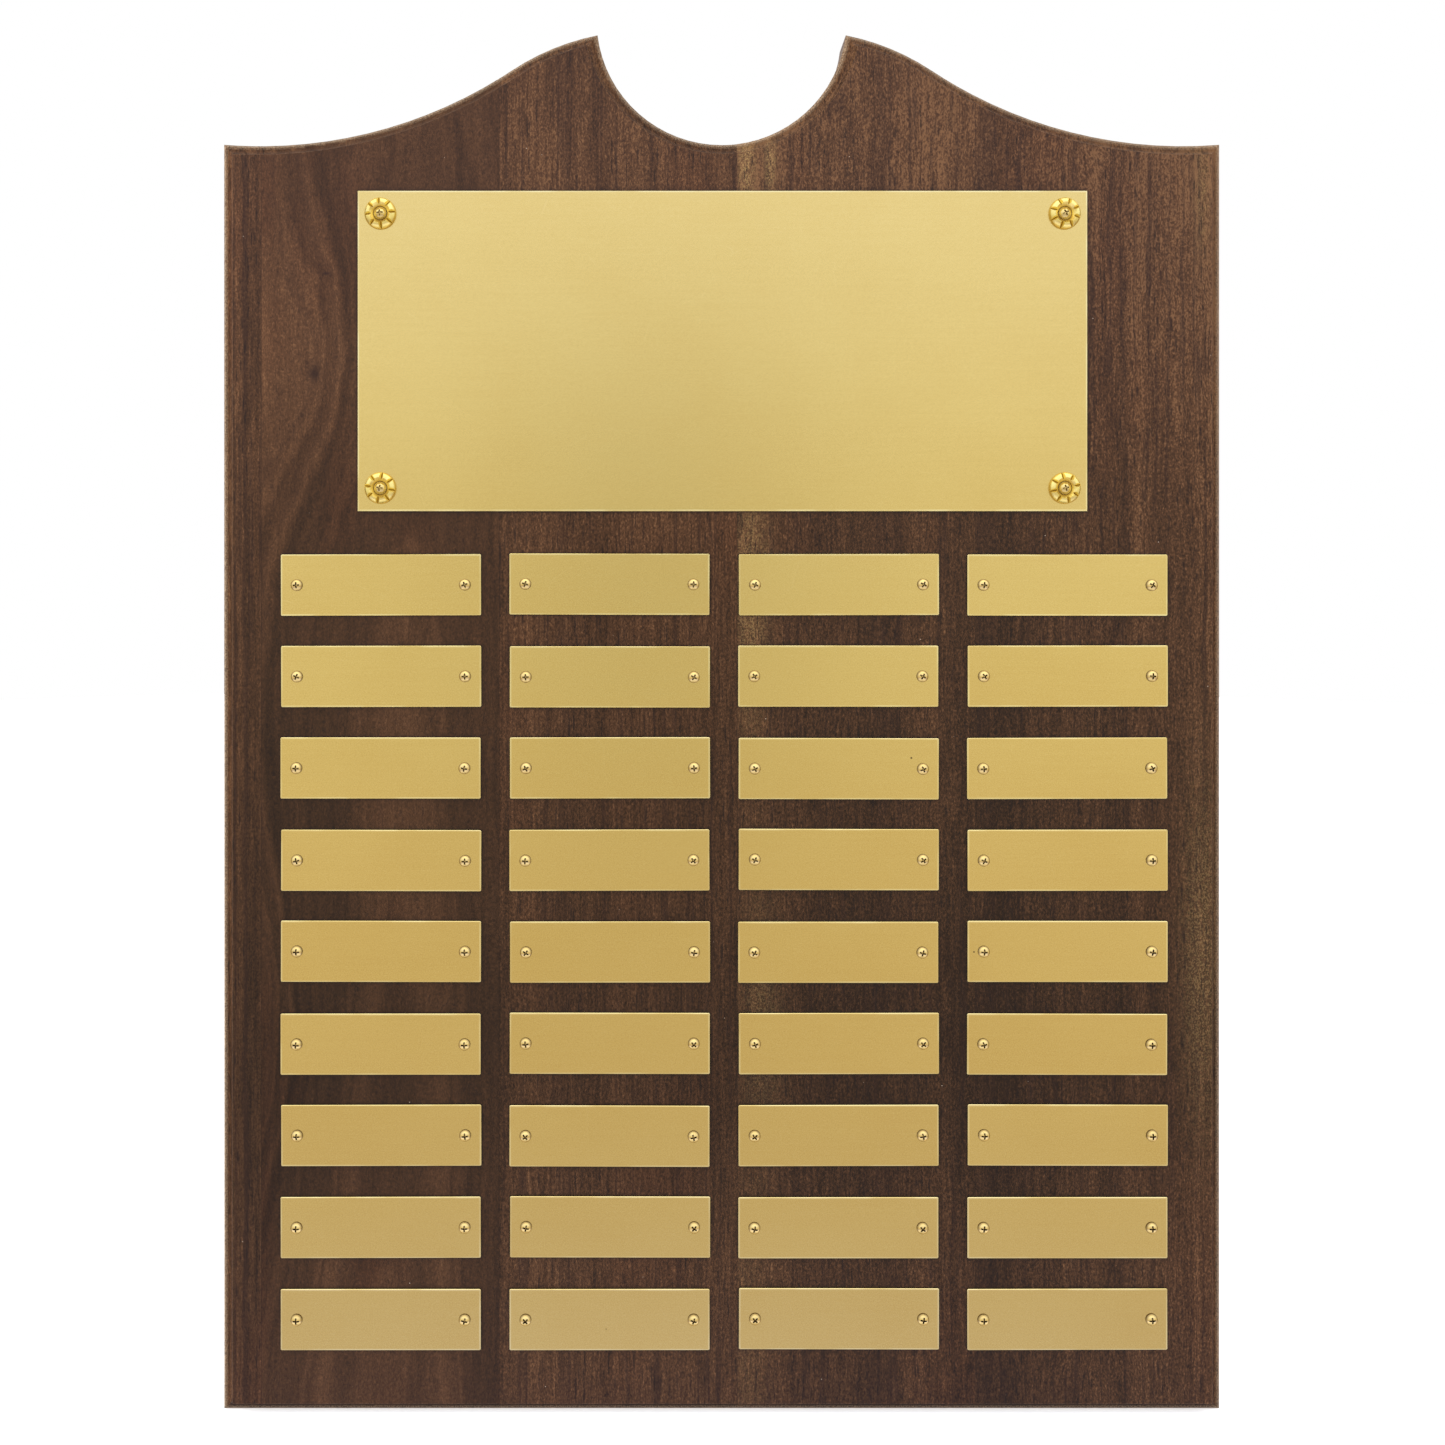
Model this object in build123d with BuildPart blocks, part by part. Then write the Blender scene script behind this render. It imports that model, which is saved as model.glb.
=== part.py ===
"""Perpetual wall plaque: a moulded walnut board with a brass header plate and brass name plates.

Millimetres. X runs to the right as the plaque is read, Z is up, and the front faces -Y.
Y = 0 is the back of the board, which lies against the wall. Z = 0 is the height of the
two hanging points, and X = 0 is the board's centreline.
"""

from build123d import *
from math import degrees, sin, sqrt
import os

# ---- driving dimensions ----

# board, with heights measured from its bottom edge
board_width = 319.0
board_thickness = 19.05
tip_height = 440.2
corner_height = 405.1
crest_start_height = 428.9  # where the hollow shoulder turns into the rounded crest
crest_start_x = 67.3
shoulder_radius = 145.8
tip_x = 39.8
scoop_radius = 40.1
stave_count = 5
stave_width = 75.55
first_seam_x = -146.4

# moulding round the front edge: a small step down, a quarter-round cove, then a bevelled arris
cove_step = 0.5
cove_radius = 3.2
arris_bevel = 0.8
past_tip = 2  # degrees that the crest's cut runs on beyond the tip

# header plate
header_width = 231.4
header_height = 101.6
header_thickness = 0.8
header_centre_height = 338.2
header_edge_break = 0.15

# rosettes, one near each corner of the header plate
rosette_spacing_x = 216.8
rosette_spacing_z = 87.0
rosette_radius = 5.0
rosette_height = 2.1
crown_radius = 3.3
rim_radius = 4.7
rim_height = 1.3
seat_radius = 2.0
seat_height = 0.55
rosette_wall = 0.5
petal_count = 8
crease_depth = 0.45
crease_width = 0.6

# name plates
plate_rows = 9
plate_columns = 4
plate_width = 63.5
plate_height = 19.4
plate_thickness = 0.6
plate_corner_radius = 0.5
plate_edge_break = 0.12
plate_pitch_x = 72.6
plate_pitch_z = 29.13
grid_centre_x = 0.55
top_row_height = 264.1
plate_screw_spacing = 53.3

# small brass pan head screws, for the name plates and the rosettes
head_radius = 1.85
head_rim_height = 0.3
head_height = 1.25
shank_radius = 0.95
shank_length = 8.2
point_length = 1.5
plate_hole_radius = 1.15
driver_span = 2.1
driver_width = 0.55
driver_depth = 0.8
driver_taper = 12

# keyhole hangers, let in flush with the back
hanger_spacing = 203.2
hanger_height = 352.2
hanger_width = 16.0
hanger_length = 46.0
hanger_thickness = 1.6
hanger_fit_gap = 0.15
keyhole_entry_radius = 4.75
keyhole_slot_width = 4.6
keyhole_drop = 10.0  # hanging point down to the centre of the entry hole
keyhole_pocket_width = 12.0
keyhole_pocket_depth = 6.5

# countersunk hanger screws
hanger_screw_spacing = 36.0
hanger_screw_radius = 1.3
hanger_head_radius = 2.8
hanger_screw_length = 11.0
hanger_screw_point = 2.0
hanger_hole_radius = 1.5
hanger_driver_span = 3.2
hanger_driver_width = 0.8
hanger_driver_depth = 1.4

# ---- derived places ----

front = Vector(0, -1, 0)
half_width = board_width / 2
bottom_z = -hanger_height
tip_z = bottom_z + tip_height
scoop_centre_z = tip_z + sqrt(scoop_radius**2 - tip_x**2)
cove_depth = cove_step + cove_radius
clear_of_board = 3.0

back_plane = Plane.XZ
wall_side = Plane(origin=(0, 0, 0), x_dir=(-1, 0, 0), z_dir=(0, 1, 0))
front_plane = back_plane.offset(board_thickness)
plate_face = front_plane.offset(plate_thickness)
rosette_plane = front_plane.offset(header_thickness)
rosette_seat = rosette_plane.offset(seat_height)

screw_reach = shank_length + point_length
rows = range(1, plate_rows + 1)
columns = range(1, plate_columns + 1)


def plate_place(row, column):
    """Where a name plate sits in the front plane, a little out of true, as it was set by hand.

    Rows count from 1 at the top, and columns from 1 at the left.
    """
    x = grid_centre_x + (column - (plate_columns + 1) / 2) * plate_pitch_x
    z = bottom_z + top_row_height - (row - 1) * plate_pitch_z
    shift_x = 0.12 * sin(2.3 * row + 4.1 * column)
    shift_z = 0.16 * sin(3.7 * row + 1.9 * column)
    tilt = 0.16 * sin(5.3 * row + 2.7 * column)
    return Location((x + shift_x, z + shift_z, 0), (0, 0, tilt))


def plate_screw_places(row, column):
    """Where a name plate's two screws sit, each turned as it was left by the driver."""
    places = []
    for end in (-1, 1):
        turn = 90 * sin(7.9 * row + 5.2 * column + 2.4 * end)
        from_centre = Location((end * plate_screw_spacing / 2, 0, 0), (0, 0, turn))
        places.append(plate_place(row, column) * from_centre)
    return places


def rosette_place(side, level):
    """Where a rosette sits. Side is -1 for left and 1 for right, and level -1 for lower and 1 for upper."""
    x = side * rosette_spacing_x / 2
    z = bottom_z + header_centre_height + level * rosette_spacing_z / 2
    turn = 9 + 11 * side + 7 * level
    return Location((x, z, 0), (0, 0, turn))


rosettes = {
    "upper_left": rosette_place(-1, 1),
    "upper_right": rosette_place(1, 1),
    "lower_left": rosette_place(-1, -1),
    "lower_right": rosette_place(1, -1),
}
hanger_points = {"left": -hanger_spacing / 2, "right": hanger_spacing / 2}
hanger_centre_z = -keyhole_drop / 2
hanger_screw_places = [
    Location((x, hanger_centre_z + end * hanger_screw_spacing / 2, 0))
    for x in hanger_points.values()
    for end in (-1, 1)
]

os.makedirs("parts", exist_ok=True)


def save(piece, name):
    """Label a finished piece and write its STEP file."""
    piece.label = name
    export_step(piece, f"parts/{name}.step")


# ---- board: outline and moulding ----


def cove_section(edge_point, inward):
    """Section of the moulding cutter at a point of the front edge.

    Its x runs inward over the front face, and its y runs out of the front.
    """
    with BuildSketch(Plane(origin=edge_point, x_dir=inward, z_dir=inward.cross(front))) as section:
        with BuildLine():
            cove = CenterArc((arris_bevel, -cove_step), cove_radius, -90, 90)
            Polyline(
                cove @ 1,
                (arris_bevel + cove_radius, clear_of_board),
                (-clear_of_board, clear_of_board),
                (-clear_of_board, -cove_depth - arris_bevel),
                (0, -cove_depth - arris_bevel),
                cove @ 0,
            )
        make_face()
    return section.sketch


def cut_straight_cove(x, z, inward, reach):
    """Cut the moulding along a straight edge through (x, z), for a reach each way."""
    extrude(
        cove_section(Vector(x, -board_thickness, z), inward),
        amount=reach,
        both=True,
        mode=Mode.SUBTRACT,
    )


def cut_round_cove(arc, board_side, sweep_angle):
    """Cut the moulding round one arc of the outline, from the arc's first point.

    Board side is 1 where the board lies outside the arc's circle and -1 where it lies inside.
    """
    centre = Vector(arc.arc_center.X, -board_thickness, arc.arc_center.Y)
    first_point = Vector((arc @ 0).X, -board_thickness, (arc @ 0).Y)
    inward = (first_point - centre).normalized() * board_side
    revolve(
        cove_section(first_point, inward),
        axis=Axis(centre, front),
        revolution_arc=sweep_angle,
        mode=Mode.SUBTRACT,
    )


with BuildPart() as board:
    # the right half, which is then mirrored
    with BuildSketch(back_plane):
        with BuildLine():
            corner = (half_width, bottom_z + corner_height)
            shoulder = RadiusArc(corner, (crest_start_x, bottom_z + crest_start_height), shoulder_radius)
            crest = TangentArc(shoulder @ 1, (tip_x, tip_z), tangent=shoulder % 1)
            scoop_bottom = (0, scoop_centre_z - scoop_radius)
            scoop = RadiusArc(crest @ 1, scoop_bottom, scoop_radius)
            Polyline(scoop_bottom, (0, bottom_z), (half_width, bottom_z), corner)
        make_face()
    extrude(amount=board_thickness)
    cut_straight_cove(half_width, 0, Vector(-1, 0, 0), tip_height)
    cut_straight_cove(0, bottom_z, Vector(0, 0, 1), board_width)
    cut_round_cove(shoulder, 1, 360)
    cut_round_cove(scoop, 1, 360)
    crest_angle = degrees(crest.length / crest.radius)
    cut_round_cove(crest, -1, crest_angle + past_tip)
    mirror(about=Plane.YZ)

    # pilot holes for the small screws
    with BuildSketch(front_plane):
        for row in rows:
            for column in columns:
                with Locations(*plate_screw_places(row, column)):
                    Circle(shank_radius)
    extrude(amount=plate_thickness - screw_reach, mode=Mode.SUBTRACT)
    with BuildSketch(front_plane):
        with Locations(*rosettes.values()):
            Circle(shank_radius)
    extrude(amount=header_thickness + seat_height - screw_reach, mode=Mode.SUBTRACT)

    # hanger recesses, keyhole pockets and hanger pilot holes in the back
    with BuildSketch(back_plane):
        for x in hanger_points.values():
            with Locations((x, hanger_centre_z)):
                SlotOverall(
                    hanger_length + 2 * hanger_fit_gap, hanger_width + 2 * hanger_fit_gap, rotation=90
                )
    extrude(amount=hanger_thickness, mode=Mode.SUBTRACT)
    with BuildSketch(back_plane):
        for x in hanger_points.values():
            with Locations((x, hanger_centre_z)):
                SlotCenterToCenter(keyhole_drop, keyhole_pocket_width, rotation=90)
    extrude(amount=hanger_thickness + keyhole_pocket_depth, mode=Mode.SUBTRACT)
    with BuildSketch(back_plane):
        with Locations(*hanger_screw_places):
            Circle(hanger_screw_radius)
    extrude(amount=hanger_screw_length, mode=Mode.SUBTRACT)


# ---- staves, glued edge to edge ----

seams = [first_seam_x + i * stave_width for i in range(stave_count - 1)]

for number in range(1, stave_count + 1):
    with BuildPart() as stave:
        add(board.part)
        if number > 1:
            split(bisect_by=Plane.YZ.offset(seams[number - 2]), keep=Keep.TOP)
        if number < stave_count:
            split(bisect_by=Plane.YZ.offset(seams[number - 1]), keep=Keep.BOTTOM)
    save(stave.part, f"walnut_stave_{number}")


# ---- header plate ----

with BuildPart() as header_plate:
    with BuildSketch(front_plane):
        with Locations((0, bottom_z + header_centre_height)):
            Rectangle(header_width, header_height)
    extrude(amount=header_thickness)
    chamfer(header_plate.faces().sort_by(Axis.Y)[0].edges(), header_edge_break)
    with BuildSketch(front_plane):
        with Locations(*rosettes.values()):
            Circle(plate_hole_radius)
    extrude(amount=header_thickness, mode=Mode.SUBTRACT)
save(header_plate.part, "header_plate")


# ---- rosettes: domed brass flowers that seat the header screws ----

with BuildPart() as crease_cutter:
    # one radial groove, sloping down from the crown to the rim
    inner_end = Vector(seat_radius, 0, rosette_height - crease_depth)
    outer_end = Vector(rosette_radius + clear_of_board, 0, -crease_depth)
    groove_run = outer_end - inner_end
    groove_top = clear_of_board
    groove_half_width = crease_width / 2 * groove_top / crease_depth
    with BuildSketch(Plane(origin=inner_end, x_dir=(0, 1, 0), z_dir=groove_run)):
        with BuildLine():
            Polyline((0, 0), (groove_half_width, groove_top), (-groove_half_width, groove_top), close=True)
        make_face()
    extrude(amount=groove_run.length)

with BuildPart() as rosette_pattern:
    with BuildSketch(Plane.XZ):
        with BuildLine():
            outer_slope = ThreePointArc(
                (rosette_radius, 0), (rim_radius, rim_height), (crown_radius, rosette_height)
            )
            inner_slope = Line(outer_slope @ 1, (seat_radius, seat_height))
            Polyline(
                inner_slope @ 1,
                (plate_hole_radius, seat_height),
                (plate_hole_radius, 0),
                outer_slope @ 0,
            )
        make_face()
    revolve(axis=Axis.Z)
    with BuildSketch(Plane.XZ):
        with BuildLine():
            Polyline(
                (seat_radius + rosette_wall / 2, 0),
                (crown_radius, rosette_height - 2 * rosette_wall),
                (rosette_radius - rosette_wall, 0),
                close=True,
            )
        make_face()
    revolve(axis=Axis.Z, mode=Mode.SUBTRACT)
    with PolarLocations(0, petal_count):
        add(crease_cutter.part, mode=Mode.SUBTRACT)

for corner_name, place in rosettes.items():
    with BuildPart(rosette_plane) as rosette:
        with Locations(place):
            add(rosette_pattern.part)
    save(rosette.part, f"rosette_{corner_name}")


# ---- name plates ----

for row in rows:
    for column in columns:
        with BuildPart() as name_plate:
            with BuildSketch(front_plane):
                with Locations(plate_place(row, column)):
                    RectangleRounded(plate_width, plate_height, plate_corner_radius)
                with Locations(*plate_screw_places(row, column)):
                    Circle(plate_hole_radius, mode=Mode.SUBTRACT)
            extrude(amount=plate_thickness)
            front_face = name_plate.faces().sort_by(Axis.Y)[0]
            chamfer(front_face.outer_wire().edges(), plate_edge_break)
        save(name_plate.part, f"name_plate_r{row}_c{column}")


# ---- screws ----


def cut_driver_recess(top, span, width, depth):
    """Cut a cross recess for a screwdriver down from a screw's top."""
    with BuildSketch(Plane.XY.offset(top)) as cross:
        Rectangle(span, width)
        Rectangle(width, span)
    extrude(cross.sketch, amount=-depth, taper=driver_taper, mode=Mode.SUBTRACT)


with BuildPart() as brass_screw:
    # the underside of the head is at height 0
    with BuildSketch(Plane.XZ):
        with BuildLine():
            dome = TangentArc((0, head_height), (head_radius, head_rim_height), tangent=(1, 0))
            Polyline(
                dome @ 1,
                (head_radius, 0),
                (shank_radius, 0),
                (shank_radius, -shank_length),
                (0, -screw_reach),
                dome @ 0,
            )
        make_face()
    revolve(axis=Axis.Z)
    cut_driver_recess(head_height, driver_span, driver_width, driver_depth)

for row in rows:
    with BuildPart(plate_face) as row_screws:
        for column in columns:
            with Locations(*plate_screw_places(row, column)):
                add(brass_screw.part)
    save(row_screws.part, f"name_screws_row_{row}")

with BuildPart(rosette_seat) as header_screws:
    with Locations(*rosettes.values()):
        add(brass_screw.part)
save(header_screws.part, "header_screws")


# ---- keyhole hangers and their countersunk screws ----

for side, x in hanger_points.items():
    with BuildPart() as hanger:
        with BuildSketch(back_plane):
            with Locations((x, hanger_centre_z)):
                SlotOverall(hanger_length, hanger_width, rotation=90)
                SlotCenterToCenter(keyhole_drop, keyhole_slot_width, rotation=90, mode=Mode.SUBTRACT)
            with Locations((x, -keyhole_drop)):
                Circle(keyhole_entry_radius, mode=Mode.SUBTRACT)
        extrude(amount=hanger_thickness)
        with Locations(wall_side):
            with Locations((-x, hanger_centre_z)):
                with GridLocations(0, hanger_screw_spacing, 1, 2):
                    CounterSinkHole(hanger_hole_radius, hanger_head_radius, counter_sink_angle=90)
    save(hanger.part, f"hanger_{side}")

with BuildPart() as wood_screw:
    # the flat top of the countersunk head is at height 0
    with BuildSketch(Plane.XZ):
        with BuildLine():
            Polyline(
                (0, 0),
                (hanger_head_radius, 0),
                (hanger_screw_radius, hanger_screw_radius - hanger_head_radius),
                (hanger_screw_radius, hanger_screw_point - hanger_screw_length),
                (0, -hanger_screw_length),
                close=True,
            )
        make_face()
    revolve(axis=Axis.Z)
    cut_driver_recess(0, hanger_driver_span, hanger_driver_width, hanger_driver_depth)

with BuildPart(wall_side) as hanger_screws:
    with Locations(*hanger_screw_places):
        add(wood_screw.part)
save(hanger_screws.part, "hanger_screws")
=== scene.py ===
# Looks for the perpetual wall plaque: walnut staves, brushed brass plates, camera and soft light.
# Metres, in the part's own frame: X runs to the right, Z is up and the front faces -Y.

from math import radians, sin

import bpy
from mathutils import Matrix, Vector


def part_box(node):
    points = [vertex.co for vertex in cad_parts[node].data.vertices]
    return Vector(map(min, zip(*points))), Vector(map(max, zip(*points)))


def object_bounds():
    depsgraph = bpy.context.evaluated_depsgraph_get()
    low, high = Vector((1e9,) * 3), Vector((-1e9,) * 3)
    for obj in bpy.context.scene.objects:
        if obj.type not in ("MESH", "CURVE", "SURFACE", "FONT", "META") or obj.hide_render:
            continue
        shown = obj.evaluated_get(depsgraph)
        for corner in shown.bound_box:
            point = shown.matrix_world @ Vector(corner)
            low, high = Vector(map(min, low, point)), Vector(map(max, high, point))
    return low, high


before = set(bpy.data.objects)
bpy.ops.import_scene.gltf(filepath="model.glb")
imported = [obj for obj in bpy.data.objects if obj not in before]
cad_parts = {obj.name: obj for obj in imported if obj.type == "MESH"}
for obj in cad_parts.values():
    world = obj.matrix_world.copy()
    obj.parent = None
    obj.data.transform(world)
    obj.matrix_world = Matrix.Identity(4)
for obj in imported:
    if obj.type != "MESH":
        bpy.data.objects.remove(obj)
cad_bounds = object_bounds()
mm = 0.001


# ---- node building ----


def linear(red, green, blue):
    """A colour on screen, each part from 0 to 255, as the linear colour that a shader takes."""

    def channel(value):
        share = value / 255
        return share / 12.92 if share <= 0.04045 else ((share + 0.055) / 1.055) ** 2.4

    return (channel(red), channel(green), channel(blue), 1.0)


class Graph:
    """A node tree being built. add gives back a node, and every other method what it puts out."""

    def __init__(self, tree):
        self.tree = tree
        tree.nodes.clear()

    def add(self, kind, inputs=None, **settings):
        node = self.tree.nodes.new("ShaderNode" + kind)
        for name, value in settings.items():
            setattr(node, name, value)
        for socket, value in (inputs or {}).items():
            if isinstance(value, bpy.types.NodeSocket):
                self.tree.links.new(value, node.inputs[socket])
            else:
                node.inputs[socket].default_value = value
        return node

    def maths(self, operation, *values, clamp=False):
        inputs = dict(enumerate(values))
        return self.add("Math", inputs, operation=operation, use_clamp=clamp).outputs[0]

    def vector_maths(self, operation, first, second):
        return self.add("VectorMath", {0: first, 1: second}, operation=operation).outputs[0]

    def split(self, vector):
        return self.add("SeparateXYZ", {0: vector}).outputs

    def between(self, value, low, high, to_low=0.0, to_high=1.0):
        """Ease a value from one level to another as it passes from low to high."""
        inputs = {0: value, 1: low, 2: high, 3: to_low, 4: to_high}
        return self.add("MapRange", inputs, interpolation_type="SMOOTHSTEP").outputs[0]

    def mix(self, share, first, second, blend="MIX"):
        inputs = {"Factor": share, 6: first, 7: second}
        return self.add("Mix", inputs, data_type="RGBA", blend_type=blend).outputs[2]

    def stretch(self, place, scale, shift=(0, 0, 0)):
        return self.add("Mapping", {"Vector": place, "Scale": scale, "Location": shift}).outputs[0]

    def noise(self, place, scale=1.0, detail=2.0, roughness=0.5, distortion=0.0):
        inputs = {
            "Vector": place,
            "Scale": scale,
            "Detail": detail,
            "Roughness": roughness,
            "Distortion": distortion,
        }
        return self.add("TexNoise", inputs).outputs[0]

    def line_noise(self, along, detail=2.0, roughness=0.5):
        """Noise that varies along one number only."""
        inputs = {"W": along, "Scale": 1.0, "Detail": detail, "Roughness": roughness}
        return self.add("TexNoise", inputs, noise_dimensions="1D").outputs[0]

    def cells(self, place, scale=1.0, feature="F1"):
        """How far a point is from the middle of the scattered cell it is in, or from the cell's edge."""
        inputs = {"Vector": place, "Scale": scale}
        return self.add("TexVoronoi", inputs, feature=feature).outputs["Distance"]

    def ramp(self, share, stops, interpolation="LINEAR"):
        """A colour that passes through (position, colour) stops as a share goes from 0 to 1."""
        node = self.add("ValToRGB", {0: share})
        node.color_ramp.interpolation = interpolation
        elements = node.color_ramp.elements
        while len(elements) < len(stops):
            elements.new(0.5)
        for element, (position, colour) in zip(elements, stops):
            element.position = position
            element.color = colour
        return node.outputs[0]

    def spot(self, x, z, centre, radii, strength):
        """A soft round bump of a given strength about a centre in x and z."""
        across = self.maths("DIVIDE", self.maths("SUBTRACT", x, centre[0]), radii[0])
        up = self.maths("DIVIDE", self.maths("SUBTRACT", z, centre[1]), radii[1])
        square = self.maths("ADD", self.maths("MULTIPLY", across, across), self.maths("MULTIPLY", up, up))
        fall = self.maths("EXPONENT", self.maths("MULTIPLY", square, -1.0))
        return self.maths("MULTIPLY", fall, strength)

    def total(self, *values):
        """The sum of several outputs."""
        result = values[0]
        for value in values[1:]:
            result = self.maths("ADD", result, value)
        return result

    def swing(self, value, amount):
        """A 0 to 1 pattern turned into a swing of half the amount either side of zero."""
        return self.maths("MULTIPLY", self.maths("SUBTRACT", value, 0.5), amount)


def evenly(colours):
    """Stops for a ramp, evenly spaced from 0 to 1."""
    last = len(colours) - 1
    return [(index / last, colour) for index, colour in enumerate(colours)]


def new_material(name):
    material = bpy.data.materials.new(name)
    material.use_nodes = True
    return material, Graph(material.node_tree)


def finish_material(graph, shader):
    graph.add("OutputMaterial", {"Surface": shader.outputs[0]})


def paint(nodes, material):
    """Give a material to the frame's nodes, in place of the plain one that each came with."""
    for node in nodes:
        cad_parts[node].data.materials[0] = material


# ---- walnut ----

board_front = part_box("walnut_stave_3")[0].y
board_bottom = cad_bounds[0].z
board_top = cad_bounds[1].z

# painted light: the board's tone at even steps from foot to crest, lighter and darker as the light falls on
# it: it is darkest a quarter of the way up
painted_light_heights = (0.44, 0.42, 0.24, 0.33, 0.40, 0.48, 0.55, 0.48, 0.47)
seam_line = 0.16 * mm

# how far behind the face the moulding's cove ends, and then its bevelled arris
cove_end = 3.7 * mm
arris_end = 4.5 * mm

# from the deepest grain to the palest flecks
browns = (
    linear(29, 16, 7),
    linear(43, 26, 12),
    linear(58, 36, 19),
    linear(75, 49, 29),
    linear(101, 70, 44),
)
red_brown = linear(150, 84, 60)
line_brown = linear(34, 19, 12)
pore_and_shade_brown = linear(22, 13, 9)
pale_brown = linear(164, 132, 82)
worn_highlight_brown = linear(154, 132, 106)
dust_colour = linear(190, 170, 150)


def profile(g, share, levels):
    """A tone that passes smoothly through evenly spaced levels as a share goes from 0 to 1."""
    return g.ramp(share, evenly([(level, level, level, 1) for level in levels]), "CARDINAL")


def wander(g, place, scale, detail, reach):
    """A sideways push in x and y that changes slowly from place to place."""
    push = g.add("TexNoise", {"Vector": g.stretch(place, scale), "Detail": detail}).outputs["Color"]
    push = g.vector_maths("SUBTRACT", push, (0.5, 0.5, 0.5))
    return g.vector_maths("MULTIPLY", push, (reach, reach, 0))


def growth_rings(g, here, drift, style):
    """Shells round a leaning pith, pushed aside by knots, as broad bands and as fine lines."""
    x, y, z = g.split(here)
    drift_x, drift_y, _ = g.split(drift)
    pith_x, pith_y, lean_x, lean_y = style["pith"]
    across = g.total(x, drift_x, g.maths("MULTIPLY", z, -lean_x), -pith_x)
    deep = g.total(y, drift_y, g.maths("MULTIPLY", z, -lean_y), -pith_y)
    square = g.maths("ADD", g.maths("MULTIPLY", across, across), g.maths("MULTIPLY", deep, deep))
    ring = g.maths("SQRT", square)
    for knot in style["knots"]:
        ring = g.maths("ADD", ring, g.spot(x, z, knot["centre"], knot["radii"], knot["push"]))
    bands = g.line_noise(g.maths("MULTIPLY", ring, style["bands"]), detail=3.0, roughness=0.6)
    lines = g.line_noise(g.maths("MULTIPLY", ring, style["lines"]), detail=1.0)
    return g.between(bands, 0.32, 0.68), g.between(lines, 0.52, 0.72)


def moulding_masks(g, behind):
    """How far a point is on the moulding, and on the moulding's bevelled arris, each from 0 to 1."""
    past_face = g.between(behind, 0.05 * mm, 0.3 * mm)
    before_arris = g.between(behind, cove_end - 0.1 * mm, arris_end - 0.1 * mm, 1.0, 0.0)
    past_cove = g.between(behind, cove_end - 0.15 * mm, cove_end + 0.1 * mm)
    before_side = g.between(behind, arris_end - 0.1 * mm, arris_end + 0.5 * mm, 1.0, 0.0)
    return g.maths("MULTIPLY", past_face, before_arris), g.maths("MULTIPLY", past_cove, before_side)


def sharp_edges(g):
    """How sharp the edge at a point is, from 0 on the flat to 1."""
    soft_normal = g.add("Bevel", {"Radius": 0.3 * mm}, samples=6).outputs[0]
    flat_normal = g.add("NewGeometry").outputs["Normal"]
    alike = g.add("VectorMath", {0: soft_normal, 1: flat_normal}, operation="DOT_PRODUCT").outputs["Value"]
    return g.between(alike, 0.90, 0.995, 1.0, 0.0)


def hollows(g):
    """How much painted shade a point takes from how closed in it is: by the cove and, more tightly, by the
    edge of a plate.
    """
    open_share = g.add("AmbientOcclusion", {"Distance": 5 * mm}, samples=8).outputs["AO"]
    tight_share = g.add("AmbientOcclusion", {"Distance": 1.2 * mm}, samples=8).outputs["AO"]
    wide = g.between(open_share, 0.5, 0.95, 0.6, 0.0)
    tight = g.between(tight_share, 0.55, 0.98, 0.75, 0.0)
    return g.maths("MAXIMUM", wide, tight)


def dusted(g, place, colour):
    """A colour with a little pale dust on it."""
    dust = g.between(g.cells(g.stretch(place, (150, 150, 150))), 0.016, 0.03, 1.0, 0.0)
    dust = g.maths("MULTIPLY", dust, g.between(g.noise(place, 60), 0.5, 0.56))
    return g.mix(g.maths("MULTIPLY", dust, 0.55), colour, dust_colour)


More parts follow.
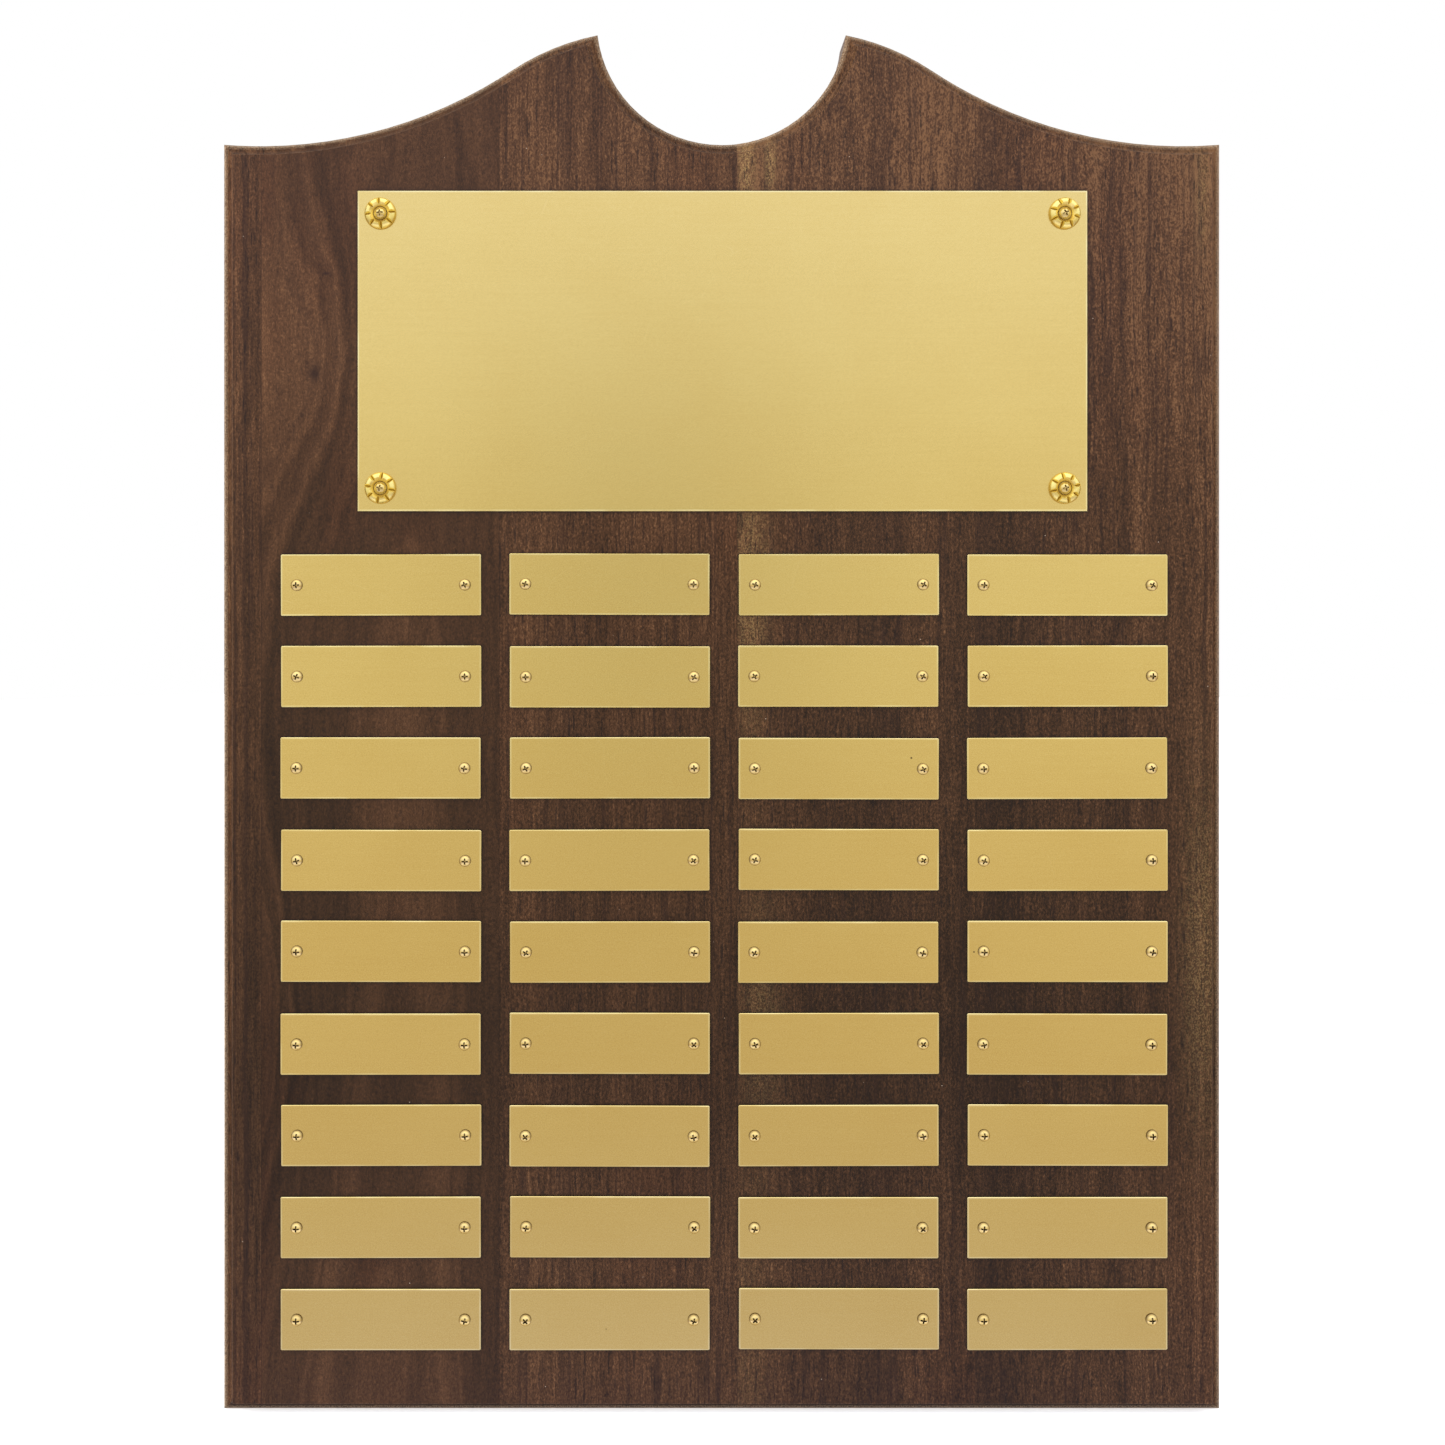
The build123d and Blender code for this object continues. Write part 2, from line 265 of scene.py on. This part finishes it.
def walnut(name, node, style):
    """Lacquered walnut for one stave: rings round a pith, open pores, fibres and slow drifts of tone, with
    painted light and shade.
    """
    material, g = new_material(name)
    low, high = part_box(node)
    here = g.add("TexCoord").outputs["Object"]
    x, y, z = g.split(here)
    place = g.vector_maths("ADD", here, style["offset"])

    # the grain wanders a little to each side as it runs up the stave
    drift = wander(g, place, (24, 24, 7), 2.0, style["waver"])
    ripple = wander(g, place, (160, 160, 60), 1.0, style["ripple"])
    drift = g.vector_maths("ADD", drift, ripple)
    grain = g.vector_maths("ADD", place, drift)
    bands, lines = growth_rings(g, here, drift, style)

    streaks = g.noise(g.stretch(grain, (430, 430, 14)), detail=2.0, roughness=0.6)
    threads = g.noise(g.stretch(grain, (1500, 1500, 60)), detail=1.0, roughness=0.6)
    flecks = g.noise(g.stretch(grain, (2100, 2100, 1050)), detail=1.0, roughness=0.7, distortion=0.4)
    glints = g.noise(g.stretch(place, (2600, 2600, 1900)), detail=1.0, roughness=0.7)
    clouds = g.noise(g.stretch(place, (16, 16, 9)), detail=3.0)
    red_clouds = g.noise(g.stretch(place, (30, 30, 8), (3.1, 0, 7.7)), detail=2.0)

    # how far a point is behind the front face: none on the face, some on the moulding, more on the sides
    behind = g.maths("SUBTRACT", y, board_front)
    moulding, arris = moulding_masks(g, behind)

    # open pores: short dark dashes in loose beds that run up the stave
    pore_beds = g.between(g.noise(g.stretch(grain, (300, 300, 14)), detail=2.0), 0.36, 0.60)
    pores = g.between(g.cells(g.stretch(grain, style["pore_scale"])), 0.12, 0.36, 1.0, 0.0)
    pores = g.maths("MULTIPLY", pores, pore_beds)

    # the stave's tone drifts from side to side; painted light makes it drift from foot to crest and lifts it
    # at the crest
    across_share = g.maths("DIVIDE", g.maths("SUBTRACT", x, low.x), high.x - low.x)
    up_share = g.maths("DIVIDE", g.maths("SUBTRACT", z, board_bottom), board_top - board_bottom)
    side_drift = profile(g, across_share, style["sides"])
    painted_light_drift = profile(g, up_share, painted_light_heights)
    crest = g.between(z, -0.06, 0.06, 0.0, style["crest_lift"])

    tone = g.total(
        g.swing(bands, style["band_depth"]),
        g.swing(streaks, style["streak_depth"]),
        g.swing(threads, style["thread_depth"]),
        g.swing(flecks, style["fleck_depth"]),
        g.swing(clouds, style["cloud_depth"]),
        g.swing(side_drift, 1.0),
        g.swing(painted_light_drift, 1.0),
        # painted light: the moulding is painted a little paler, as if lit
        g.maths("MULTIPLY", moulding, 0.12),
        crest,
        0.5,
    )
    colour = g.ramp(tone, evenly(browns))
    red = g.maths("MULTIPLY", g.between(red_clouds, 0.5, 0.7), style["red_depth"])
    colour = g.mix(red, colour, red_brown, blend="SOFT_LIGHT")
    veins = g.between(g.noise(g.stretch(grain, (640, 640, 7)), detail=1.0), 0.56, 0.68)
    colour = g.mix(g.maths("MULTIPLY", veins, style["vein_depth"]), colour, line_brown)
    colour = g.mix(g.maths("MULTIPLY", lines, style["line_depth"]), colour, line_brown)
    for streak in style["pale_streaks"]:
        share = g.spot(x, z, streak["centre"], streak["radii"], streak["strength"])
        share = g.maths("MULTIPLY", share, g.between(glints, 0.48, 0.60, 0.15, 1.0))
        colour = g.mix(share, colour, pale_brown)
    for knot in style["knots"]:
        heart = g.spot(x, z, knot["centre"], knot["heart"], knot["dark"])
        colour = g.mix(heart, colour, line_brown)
    colour = g.mix(g.maths("MULTIPLY", pores, style["pore_depth"]), colour, pore_and_shade_brown)

    # painted shade darkens the hollows, in the cove and round the plates, and polish has darkened the glue
    # lines
    colour = g.mix(hollows(g), colour, pore_and_shade_brown)
    edge = sharp_edges(g)
    for seam, is_seam in ((low.x, style["seams"][0]), (high.x, style["seams"][1])):
        if is_seam:
            gap = g.maths("ABSOLUTE", g.maths("SUBTRACT", x, seam))
            edge = g.maths("MULTIPLY", edge, g.between(gap, 0.5 * mm, 0.8 * mm))
            colour = g.mix(g.between(gap, 0.0, seam_line, 0.55, 0.0), colour, pore_and_shade_brown)

    # the sharp edges, and most of all the arris, are painted pale: partly lacquer worn thin, partly a painted
    # highlight
    worn_and_highlight = g.maths("MAXIMUM", g.maths("MULTIPLY", edge, 0.2), g.maths("MULTIPLY", arris, 0.7))
    worn_and_highlight = g.maths("MULTIPLY", worn_and_highlight, g.between(glints, 0.40, 0.60, 0.2, 1.0))
    colour = g.mix(worn_and_highlight, colour, worn_highlight_brown)
    colour = dusted(g, place, colour)

    height = g.total(
        g.maths("MULTIPLY", pores, -1.0),
        g.maths("MULTIPLY", threads, 0.35),
        g.maths("MULTIPLY", flecks, 0.35),
        g.maths("MULTIPLY", streaks, 0.25),
    )
    bump = g.add("Bump", {"Height": height, "Strength": 0.35, "Distance": 0.12 * mm}).outputs[0]
    roughness = g.total(0.40, g.maths("MULTIPLY", pores, 0.25), g.swing(threads, 0.16))
    coat = g.between(behind, 0.02 * mm, 0.10 * mm, 1.0, 0.12)
    shader = g.add(
        "BsdfPrincipled",
        {
            "Base Color": colour,
            "Roughness": roughness,
            "Normal": bump,
            "Specular IOR Level": 0.08,
            "IOR": 1.5,
            "Coat Weight": coat,
            "Coat IOR": 1.22,
            "Coat Roughness": 0.14,
        },
    )
    finish_material(g, shader)
    return material


def stave_look(**changes):
    """What one stave's grain is like: the common values, with that stave's own in place of some."""
    common = {
        "offset": (0, 0, 0),
        "waver": 2.5 * mm,
        "ripple": 0.5 * mm,
        # where the pith is in x and y at height 0, and how far it leans in each as it rises
        "pith": (0.0, 0.20, 0.0, 0.0),
        "knots": [],
        "pale_streaks": [],
        "bands": 120,
        "lines": 420,
        "band_depth": 0.2,
        "streak_depth": 0.4,
        "thread_depth": 0.6,
        "fleck_depth": 1.1,
        "line_depth": 0.25,
        "pore_scale": (900, 900, 120),
        "pore_depth": 0.65,
        # tone at even steps from the left side to the right
        "sides": (0.5, 0.5),
        # how much painted light lifts the tone at the crest
        "crest_lift": 0.1,
        "vein_depth": 0.45,
        "cloud_depth": 0.35,
        "red_depth": 0.4,
        # whether there is a glue line on the left and on the right
        "seams": (True, True),
    }
    return {**common, **changes}


stave_looks = {
    "walnut_stave_1": stave_look(
        offset=(1.3, 0.2, 0.6),
        bands=260,
        lines=700,
        line_depth=0.45,
        waver=1.2 * mm,
        seams=(False, True),
        red_depth=0.2,
    ),
    "walnut_stave_2": stave_look(
        offset=(0.4, 0.9, 2.2),
        pith=(-0.098, 0.012, 0.03, 0.07),
        knots=[
            {
                "centre": (-0.1296, -0.021),
                "radii": (0.022, 0.045),
                "heart": (0.0019, 0.0026),
                "push": 0.016,
                "dark": 0.85,
            },
            {
                "centre": (-0.1258, 0.0107),
                "radii": (0.004, 0.004),
                "heart": (0.0013, 0.0005),
                "push": 0.002,
                "dark": 0.85,
            },
            {
                "centre": (-0.152, -0.235),
                "radii": (0.03, 0.06),
                "heart": (0.001, 0.001),
                "push": 0.02,
                "dark": 0.0,
            },
        ],
        waver=6 * mm,
        ripple=1.2 * mm,
        bands=75,
        lines=260,
        band_depth=0.4,
        streak_depth=0.25,
        thread_depth=0.25,
        fleck_depth=0.8,
        vein_depth=0.12,
        line_depth=0.12,
        pore_depth=0.3,
        pore_scale=(1100, 1100, 260),
        red_depth=0.25,
    ),
    "walnut_stave_3": stave_look(
        offset=(2.2, 0.5, 1.1),
        bands=170,
        waver=1.6 * mm,
        pore_scale=(900, 900, 70),
        sides=(0.55, 0.57, 0.54),
        fleck_depth=1.3,
        red_depth=0.12,
    ),
    "walnut_stave_4": stave_look(
        offset=(3.7, 1.4, 0.3),
        waver=3.5 * mm,
        pale_streaks=[
            {"centre": (0.0076, 0.056), "radii": (0.0026, 0.026), "strength": 0.6},
            {"centre": (0.0152, 0.046), "radii": (0.0016, 0.010), "strength": 0.5},
            {"centre": (0.0090, -0.090), "radii": (0.0050, 0.040), "strength": 0.3},
            {"centre": (0.0120, -0.225), "radii": (0.0060, 0.035), "strength": 0.15},
            {"centre": (0.0078, -0.330), "radii": (0.0060, 0.050), "strength": 0.08},
        ],
        sides=(0.70, 0.58, 0.47, 0.45, 0.48),
        fleck_depth=1.5,
        crest_lift=0.3,
        cloud_depth=0.22,
        red_depth=0.15,
    ),
    "walnut_stave_5": stave_look(
        offset=(4.9, 0.1, 1.9),
        waver=3.5 * mm,
        seams=(True, False),
        sides=(0.42, 0.45, 0.50, 0.57, 0.67),
        fleck_depth=1.5,
        crest_lift=0.30,
        cloud_depth=0.22,
        red_depth=0.1,
        pale_streaks=[
            {"centre": (0.1525, 0.037), "radii": (0.0025, 0.018), "strength": 0.25},
            {"centre": (0.1525, -0.205), "radii": (0.0060, 0.050), "strength": 0.24},
        ],
    ),
}
for stave, look in stave_looks.items():
    paint([stave], walnut(stave.replace("stave", "grain"), stave, look))


# ---- brass ----

pale_grit_colour = linear(250, 234, 172)
dark_grit_colour = linear(176, 140, 72)
scratch_colour = linear(245, 225, 160)
speck_colour = linear(70, 48, 30)
polished_highlight_colour = linear(255, 240, 176)
clouded_colour = linear(206, 170, 92)


def polished_highlight_border(g, node, shifted):
    """A narrow border just inside the cut edge of a sheet the size of a node, from 0 to 1, where a polished
    rim and a painted highlight lie.
    """
    low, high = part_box(node)
    across, _, up = g.split(g.add("TexCoord").outputs["Generated"])
    from_side = g.maths("SUBTRACT", 0.5, g.maths("ABSOLUTE", g.maths("SUBTRACT", across, 0.5)))
    from_end = g.maths("SUBTRACT", 0.5, g.maths("ABSOLUTE", g.maths("SUBTRACT", up, 0.5)))
    from_side = g.maths("MULTIPLY", from_side, high.x - low.x)
    from_end = g.maths("MULTIPLY", from_end, high.z - low.z)
    border = g.between(g.maths("MINIMUM", from_side, from_end), 0.40 * mm, 0.62 * mm, 1.0, 0.0)
    return g.maths("MULTIPLY", border, g.between(g.noise(shifted, 70.0), 0.38, 0.6, 0.35, 1.0))


def brushed_brass(name, node, colour, tarnish, roughness, anisotropy, grit_depth):
    """Sheet brass for pieces the size of one node: brushed across, faintly scratched and specked, with a
    polished rim and a painted highlight just inside its edge.
    """
    material, g = new_material(name)
    place = g.add("TexCoord").outputs["Object"]
    piece = g.add("ObjectInfo").outputs["Random"]
    shifted = g.vector_maths("ADD", place, g.add("CombineXYZ", {"X": piece, "Z": piece}).outputs[0])

    coarse = g.noise(g.stretch(shifted, (22, 900, 900)), detail=3.0, roughness=0.6)
    fine = g.noise(g.stretch(shifted, (70, 4200, 4200)), detail=2.0, roughness=0.6)
    clouds = g.noise(shifted, 26.0, detail=3.0)
    mottle = g.noise(shifted, 420.0, detail=2.0)
    grit = g.noise(shifted, 2400.0, detail=2.0, roughness=0.7)

    # long faint scratches at odd angles, broken up along their length
    scratch_cells = g.cells(g.stretch(shifted, (26, 26, 47), (0.3, 0.1, 0.7)), feature="DISTANCE_TO_EDGE")
    scratches = g.between(scratch_cells, 0.0, 0.005, 1.0, 0.0)
    scratches = g.maths("MULTIPLY", scratches, g.between(g.noise(shifted, 90.0), 0.52, 0.62))
    specks = g.between(g.cells(g.stretch(shifted, (60, 60, 60))), 0.012, 0.026, 1.0, 0.0)
    specks = g.maths("MULTIPLY", specks, g.between(g.noise(shifted, 35.0), 0.5, 0.55))

    tone = g.total(g.swing(coarse, 0.3), g.swing(fine, 0.4), g.swing(clouds, 0.8), g.swing(piece, 0.25), 0.35)
    shade = g.mix(g.between(tone, 0.0, 1.0), colour, tarnish)
    pale_grit = g.maths("MULTIPLY", g.between(grit, 0.50, 0.72), grit_depth)
    dark_grit = g.maths("MULTIPLY", g.between(grit, 0.28, 0.50, 1.0, 0.0), grit_depth * 0.8)
    shade = g.mix(pale_grit, shade, pale_grit_colour)
    shade = g.mix(dark_grit, shade, dark_grit_colour)
    shade = g.mix(g.maths("MULTIPLY", scratches, 0.14), shade, scratch_colour)
    shade = g.mix(g.maths("MULTIPLY", specks, 0.8), shade, speck_colour)
    # a polished rim and a painted highlight just inside the cut edge
    border = polished_highlight_border(g, node, shifted)
    shade = g.mix(g.maths("MULTIPLY", border, 0.8), shade, polished_highlight_colour)

    uneven = g.total(
        roughness,
        g.swing(coarse, 0.035),
        g.swing(fine, 0.03),
        g.swing(clouds, 0.04),
        g.maths("MULTIPLY", specks, 0.3),
    )
    height = g.total(fine, g.maths("MULTIPLY", coarse, 0.6), g.maths("MULTIPLY", scratches, -0.8))
    height = g.total(height, g.maths("MULTIPLY", mottle, 0.15))
    bump = g.add("Bump", {"Height": height, "Strength": 0.12, "Distance": 0.02 * mm}).outputs[0]
    shader = g.add(
        "BsdfPrincipled",
        {
            "Base Color": shade,
            "Metallic": 1.0,
            "Roughness": uneven,
            "Normal": bump,
            "Anisotropic": anisotropy,
            "Tangent": (0.0, 0.0, 1.0),
        },
    )
    finish_material(g, shader)
    return material


def cast_brass(name, colour, hollow, roughness, reach, under, rim, steep=(0.3, 0.7)):
    """Bright stamped or turned brass, darker brown in its hollows and pits, with painted shade on what faces
    down and round its rim.

    A hollow is felt from as far as reach. Under is how much painted shade lies on what faces down, and rim
    how much lies where the surface turns from the front by more than steep allows.
    """
    material, g = new_material(name)
    place = g.add("TexCoord").outputs["Object"]
    open_share = g.add("AmbientOcclusion", {"Distance": reach}, samples=8).outputs["AO"]
    closed_in = g.between(open_share, 0.25, 0.85, 1.0, 0.0)
    grains = g.noise(place, 2600.0, detail=2.0)
    clouds = g.noise(place, 420.0, detail=2.0)
    pits = g.between(g.cells(place, 900.0), 0.1, 0.22, 1.0, 0.0)
    pits = g.maths("MULTIPLY", pits, g.between(g.noise(place, 500.0), 0.55, 0.62))
    tone = g.mix(g.between(clouds, 0.4, 0.7, 0.0, 0.25), colour, clouded_colour)

    # darker brown in the hollows and the pits, and painted shade on what faces down and round the steep rim
    dirt_and_shade = g.maths("MAXIMUM", g.maths("MULTIPLY", closed_in, 0.8), g.maths("MULTIPLY", pits, 0.4))
    facing = g.split(g.add("NewGeometry").outputs["Normal"])
    dirt_and_shade = g.maths("MAXIMUM", dirt_and_shade, g.between(facing[2], -0.5, -0.08, under, 0.0))
    dirt_and_shade = g.maths("MAXIMUM", dirt_and_shade, g.between(g.maths("ABSOLUTE", facing[1]), *steep, rim, 0.0))
    tone = g.mix(dirt_and_shade, tone, hollow)
    uneven = g.total(roughness, g.maths("MULTIPLY", dirt_and_shade, 0.35), g.swing(grains, 0.12))
    bump = g.add("Bump", {"Height": grains, "Strength": 0.15, "Distance": 0.03 * mm}).outputs[0]
    shader = g.add(
        "BsdfPrincipled", {"Base Color": tone, "Metallic": 1.0, "Roughness": uneven, "Normal": bump}
    )
    finish_material(g, shader)
    return material


sheet_brass = {
    node: brushed_brass(
        f"brushed_{node}_brass",
        node,
        linear(230, 204, 126),
        linear(223, 194, 115),
        roughness=0.22,
        anisotropy=0.6,
        grit_depth=grit_depth,
    )
    for node, grit_depth in (("header_plate", 0.12), ("name_plate_r1_c1", 0.20))
}
rosette_brass = cast_brass(
    "stamped_rosette_brass",
    linear(252, 232, 140),
    linear(160, 118, 40),
    roughness=0.26,
    reach=0.5 * mm,
    under=0.2,
    rim=0.35,
)
screw_brass = cast_brass(
    "turned_screw_brass",
    linear(242, 214, 140),
    linear(78, 52, 24),
    roughness=0.2,
    reach=0.7 * mm,
    under=0.25,
    rim=0.95,
    steep=(0.58, 0.84),
)
well_screw_brass = cast_brass(
    "turned_well_screw_brass",
    linear(240, 214, 136),
    linear(96, 68, 34),
    roughness=0.24,
    reach=0.3 * mm,
    under=0.3,
    rim=0.5,
)
hanger_brass = brushed_brass(
    "brushed_hanger_brass",
    "hanger_left",
    linear(214, 182, 108),
    linear(186, 152, 88),
    roughness=0.32,
    anisotropy=0.3,
    grit_depth=0.3,
)
hanger_screw_brass = cast_brass(
    "hanger_screw_brass",
    linear(230, 208, 152),
    linear(44, 30, 20),
    roughness=0.3,
    reach=0.8 * mm,
    under=0.0,
    rim=0.3,
)

node_names = sorted(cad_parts)
paint([n for n in node_names if n.startswith("name_plate")], sheet_brass["name_plate_r1_c1"])
paint([n for n in node_names if n.startswith("name_screws")], screw_brass)
paint([n for n in node_names if n.startswith("rosette")], rosette_brass)
paint(["header_plate"], sheet_brass["header_plate"])
paint(["header_screws"], well_screw_brass)
paint(["hanger_left", "hanger_right"], hanger_brass)
paint(["hanger_screws"], hanger_screw_brass)


# ---- floor ----

floor_radius = 3.0


def pale_floor():
    """A round pale floor under the board's foot, which glows enough to lose most of its shadow."""
    foot = (0, 0, board_bottom)
    bpy.ops.mesh.primitive_circle_add(vertices=96, radius=floor_radius, fill_type="NGON", location=foot)
    floor = bpy.context.object
    floor.name = "floor"
    material, g = new_material("pale_floor")
    place = g.add("TexCoord").outputs["Object"]
    shade = g.mix(g.noise(place, 6.0), linear(246, 246, 245), linear(250, 250, 249))
    surface = {
        "Base Color": shade,
        "Roughness": 0.9,
        "Specular IOR Level": 0.1,
        "Emission Color": shade,
        "Emission Strength": 0.6,
    }
    finish_material(g, g.add("BsdfPrincipled", surface))
    floor.data.materials.append(material)
    floor.visible_glossy = False
    return floor


pale_floor()


# ---- light ----

# the tent's light at each angle above level, in degrees, from straight down to straight up
tent_levels = (
    (-90, (0.75, 0.73, 0.70)),
    (-50, (1.80, 1.80, 2.10)),
    (-36, (0.80, 0.80, 1.30)),
    (-28, (0.65, 0.61, 0.68)),
    (-20, (0.76, 0.67, 0.56)),
    (-11, (0.82, 0.73, 0.62)),
    (-4, (0.91, 0.88, 0.78)),
    (3, (0.93, 0.90, 0.84)),
    (8, (1.00, 1.01, 1.08)),
    (16, (1.04, 1.09, 1.36)),
    (30, (1.25, 1.28, 1.45)),
    (52, (1.45, 1.45, 1.50)),
    (90, (1.90, 1.88, 1.85)),
)
tent_brightest = 2.2
tent_back = (0.40, 0.37, 0.35, 1.0)


def studio_world():
    """A soft light tent, darker behind the board and straight ahead of it, where the camera stands."""
    world = bpy.data.worlds.new("light_tent")
    bpy.context.scene.world = world
    world.use_nodes = True
    g = Graph(world.node_tree)
    direction = g.add("TexCoord").outputs["Generated"]
    dx, dy, dz = g.split(direction)
    rise = g.maths("ADD", g.maths("MULTIPLY", dz, 0.5), 0.5)
    stops = []
    for angle, colour in tent_levels:
        stops.append((0.5 + 0.5 * sin(radians(angle)), (*[part / tent_brightest for part in colour], 1)))
    tent_colour = g.ramp(rise, stops, "B_SPLINE")

    # the camera, its stand and the stand's legs are soft dark spots straight ahead of the board
    ahead = g.maths("MAXIMUM", g.maths("MULTIPLY", dy, -1.0), 0.05)
    aside = g.maths("DIVIDE", dx, ahead)
    up = g.maths("DIVIDE", dz, ahead)
    stand = g.spot(aside, up, (0.0, 0.03), (0.085, 0.17), 0.40)
    legs = g.spot(aside, up, (0.0, -0.20), (0.09, 0.20), 0.17)
    lens = g.spot(aside, up, (0.0, 0.10), (0.045, 0.045), 0.08)
    dim = g.maths("SUBTRACT", 1.0, g.total(stand, legs, lens))
    front_side = g.between(dy, -0.3, -0.05, 1.0, 0.0)
    dim = g.maths("ADD", g.maths("MULTIPLY", dim, front_side), g.maths("SUBTRACT", 1.0, front_side))
    strength = g.maths("MULTIPLY", dim, tent_brightest)

    light = g.mix(g.between(dy, 0.1, 0.4), tent_colour, tent_back)
    tent = g.add("Background", {"Color": light, "Strength": strength})
    white = g.add("Background", {"Color": (1, 1, 1, 1), "Strength": 1.0})
    seen = g.add("LightPath").outputs["Is Camera Ray"]
    shown = g.add("MixShader", {0: seen, 1: tent.outputs[0], 2: white.outputs[0]})
    g.add("OutputWorld", {"Surface": shown.outputs[0]})


def soft_box(name, place, aim, width, height, power):
    """A soft box that lights the piece but isn't mirrored in the brass or the lacquer."""
    light = bpy.data.lights.new(name, "AREA")
    light.shape = "RECTANGLE"
    light.size = width
    light.size_y = height
    light.energy = power
    box = bpy.data.objects.new(name, light)
    box.location = place
    box.rotation_euler = (Vector(aim) - Vector(place)).to_track_quat("-Z", "Y").to_euler()
    box.visible_glossy = False
    bpy.context.scene.collection.objects.link(box)


studio_world()
middle = (cad_bounds[0] + cad_bounds[1]) / 2
soft_box("overhead_box", (-0.35, -0.55, 1.25), middle, width=0.9, height=0.5, power=9.0)
soft_box("side_box", (-0.95, -0.32, 0.10), middle, width=0.4, height=0.7, power=5.0)


# ---- camera ----

# the camera faces the board squarely, a little left of its middle and below its header plate
camera_x = -0.0229
camera_z = -0.086
camera_distance = 0.457
camera_data = bpy.data.cameras.new("camera")
camera_data.sensor_width = 36
camera_data.lens = 35.86
camera_data.shift_x = 0.05
camera_data.shift_y = -0.10
camera = bpy.data.objects.new("camera", camera_data)
camera.location = (camera_x, board_front - camera_distance, camera_z)
camera.rotation_euler = (radians(90), 0, 0)
bpy.context.scene.collection.objects.link(camera)
bpy.context.scene.camera = camera
bpy.context.scene.view_settings.view_transform = "Standard"
